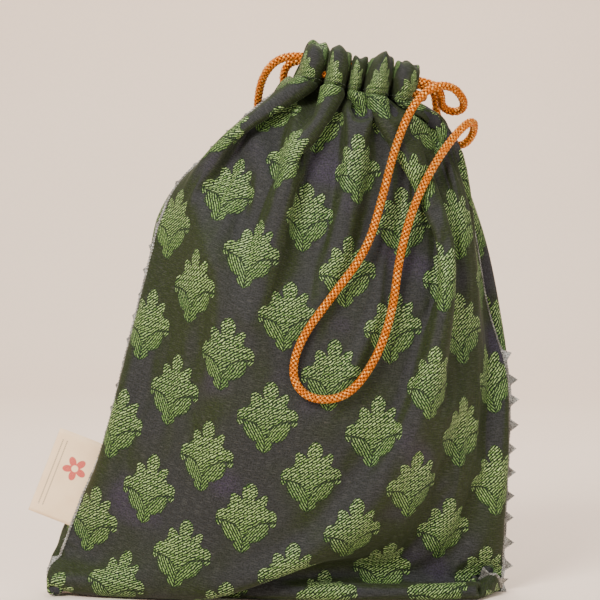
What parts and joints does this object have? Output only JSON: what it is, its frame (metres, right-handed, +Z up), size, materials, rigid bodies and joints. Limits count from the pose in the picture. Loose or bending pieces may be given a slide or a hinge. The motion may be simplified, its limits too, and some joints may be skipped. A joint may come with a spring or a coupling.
{
  "type": "fabric gift sack",
  "caption": "Brocade drawstring gift pouch standing on its base: trimmed seams, a gathered neck closed by two cord pull loops, and a ribbon label in one seam.",
  "frame": {"origin": "middle of the base, on the surface that the sack stands on", "axes": "+Z up, -Y towards the front with the hanging cord loop, +X to the right as seen from the front"},
  "size_m": [0.2462, 0.1035, 0.2721],
  "materials": {
    "brocade": "satin",
    "lining": "satin",
    "cord": "satin",
    "metallic_lace": "satin",
    "label": "matte",
    "thread": "matte"
  },
  "bodies": {
    "sack": {"front_panel": "brocade", "back_panel": "brocade", "front_lining": "lining", "back_lining": "lining", "left_seam_lace": "metallic_lace", "right_seam_lace": "metallic_lace", "bottom_seam_lace": "metallic_lace", "right_cord_turn": "cord", "left_cord_turn": "cord"},
    "front_lip": {"front_casing": "brocade", "front_casing_stitches": "thread"},
    "back_lip": {"back_casing": "brocade", "back_casing_stitches": "thread"},
    "right_drawstring": {"right_pull_loop": "cord", "right_cord_ends": "cord"},
    "left_drawstring": {"left_pull_loop": "cord", "left_cord_ends": "cord"},
    "label": {"label": "label", "label_tacks": "thread"}
  },
  "joints": [
    {"name": "right_pull", "type": "slide", "parent": "sack", "child": "right_drawstring", "axis": [0.9781, 0, -0.2079], "range_m": [0, 0.02]},
    {"name": "left_pull", "type": "slide", "parent": "sack", "child": "left_drawstring", "axis": [-0.9781, 0, 0.2079], "range_m": [0, 0.02]},
    {"name": "front_cinch", "type": "slide", "parent": "sack", "child": "front_lip", "axis": [0, 1, 0], "range_m": [0, 0.0045]},
    {"name": "back_cinch", "type": "slide", "parent": "sack", "child": "back_lip", "axis": [0, -1, 0], "range_m": [0, 0.0045]},
    {"name": "label_flap", "type": "hinge", "parent": "sack", "child": "label", "pos_m": [-0.09575, 0.00122, 0.056], "axis": [-0.4198, 0, -0.9076], "range_deg": [-1, 75], "stiffness_Nm_per_rad": 0.001}
  ],
  "couplings": [
    {"joint": "left_pull", "follows": "right_pull", "ratio": 1},
    {"joint": "front_cinch", "follows": "right_pull", "ratio": 0.225},
    {"joint": "back_cinch", "follows": "right_pull", "ratio": 0.225}
  ]
}
